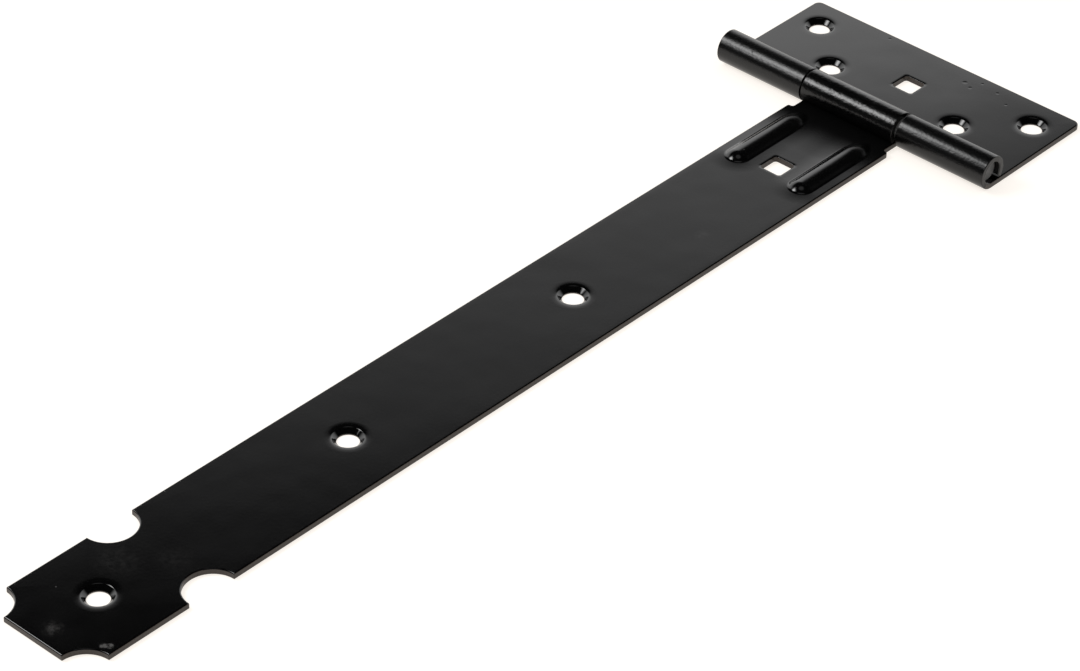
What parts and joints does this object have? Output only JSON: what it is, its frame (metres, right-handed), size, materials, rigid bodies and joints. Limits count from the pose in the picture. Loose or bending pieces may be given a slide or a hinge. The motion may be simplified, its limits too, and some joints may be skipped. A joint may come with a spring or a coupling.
{
  "type": "tee hinge",
  "caption": "Long strap leaf and short jamb plate, pressed and rolled from steel sheet and turning on one pin; hangs a gate or shed door on its post.",
  "frame": {"origin": "on the mounting plane, under the pin's axis, halfway along the jamb plate", "axes": "+X along the strap towards its tip, +Y along the pin, +Z out of the front, away from gate and post"},
  "size_m": [0.4415, 0.1194, 0.0125],
  "materials": {
    "coated_sheet": "satin-gloss black coating over pressed steel sheet, slightly dimpled",
    "coated_pin": "satin black coating on a cropped steel pin"
  },
  "bodies": {
    "jamb_side": {"jamb_plate": "coated_sheet", "hinge_pin": "coated_pin"},
    "gate_side": {"strap_leaf": "coated_sheet"}
  },
  "joints": [
    {"name": "gate_swing", "type": "hinge", "parent": "jamb_side", "child": "gate_side", "pos_m": [0, 0, 0.00625], "axis": [0, -1, 0], "range_deg": [-108, 186]}
  ]
}
